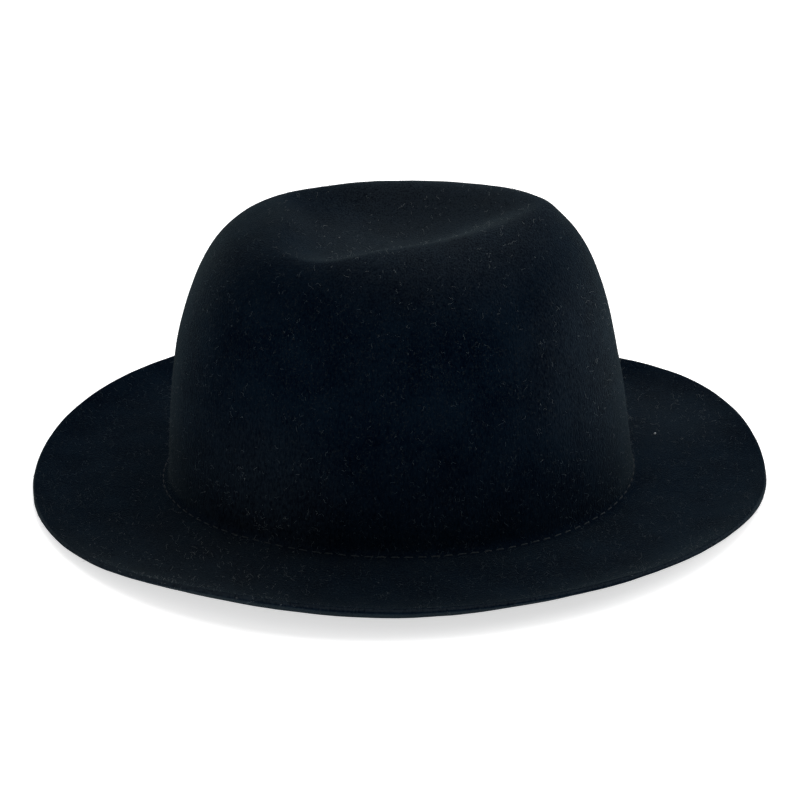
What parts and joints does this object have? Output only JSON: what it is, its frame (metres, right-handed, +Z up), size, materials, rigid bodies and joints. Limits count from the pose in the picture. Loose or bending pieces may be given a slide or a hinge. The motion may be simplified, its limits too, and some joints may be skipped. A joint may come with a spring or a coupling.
{
  "type": "felt hat",
  "caption": "Soft felt hat with a lengthwise teardrop crease in its crown and a brim whose sides curl up a little.",
  "frame": {"origin": "centre of the hat's box at its lowest level, which is the surface that the brim stands on", "axes": "+X to the front of the hat, +Y to the wearer's left, +Z up"},
  "size_m": [0.3348, 0.2986, 0.135],
  "materials": {
    "felt": "close napped black fur felt with a faint blue cast, matt, with light lint"
  },
  "bodies": {
    "root": {"felt_body": "felt"}
  },
  "joints": []
}
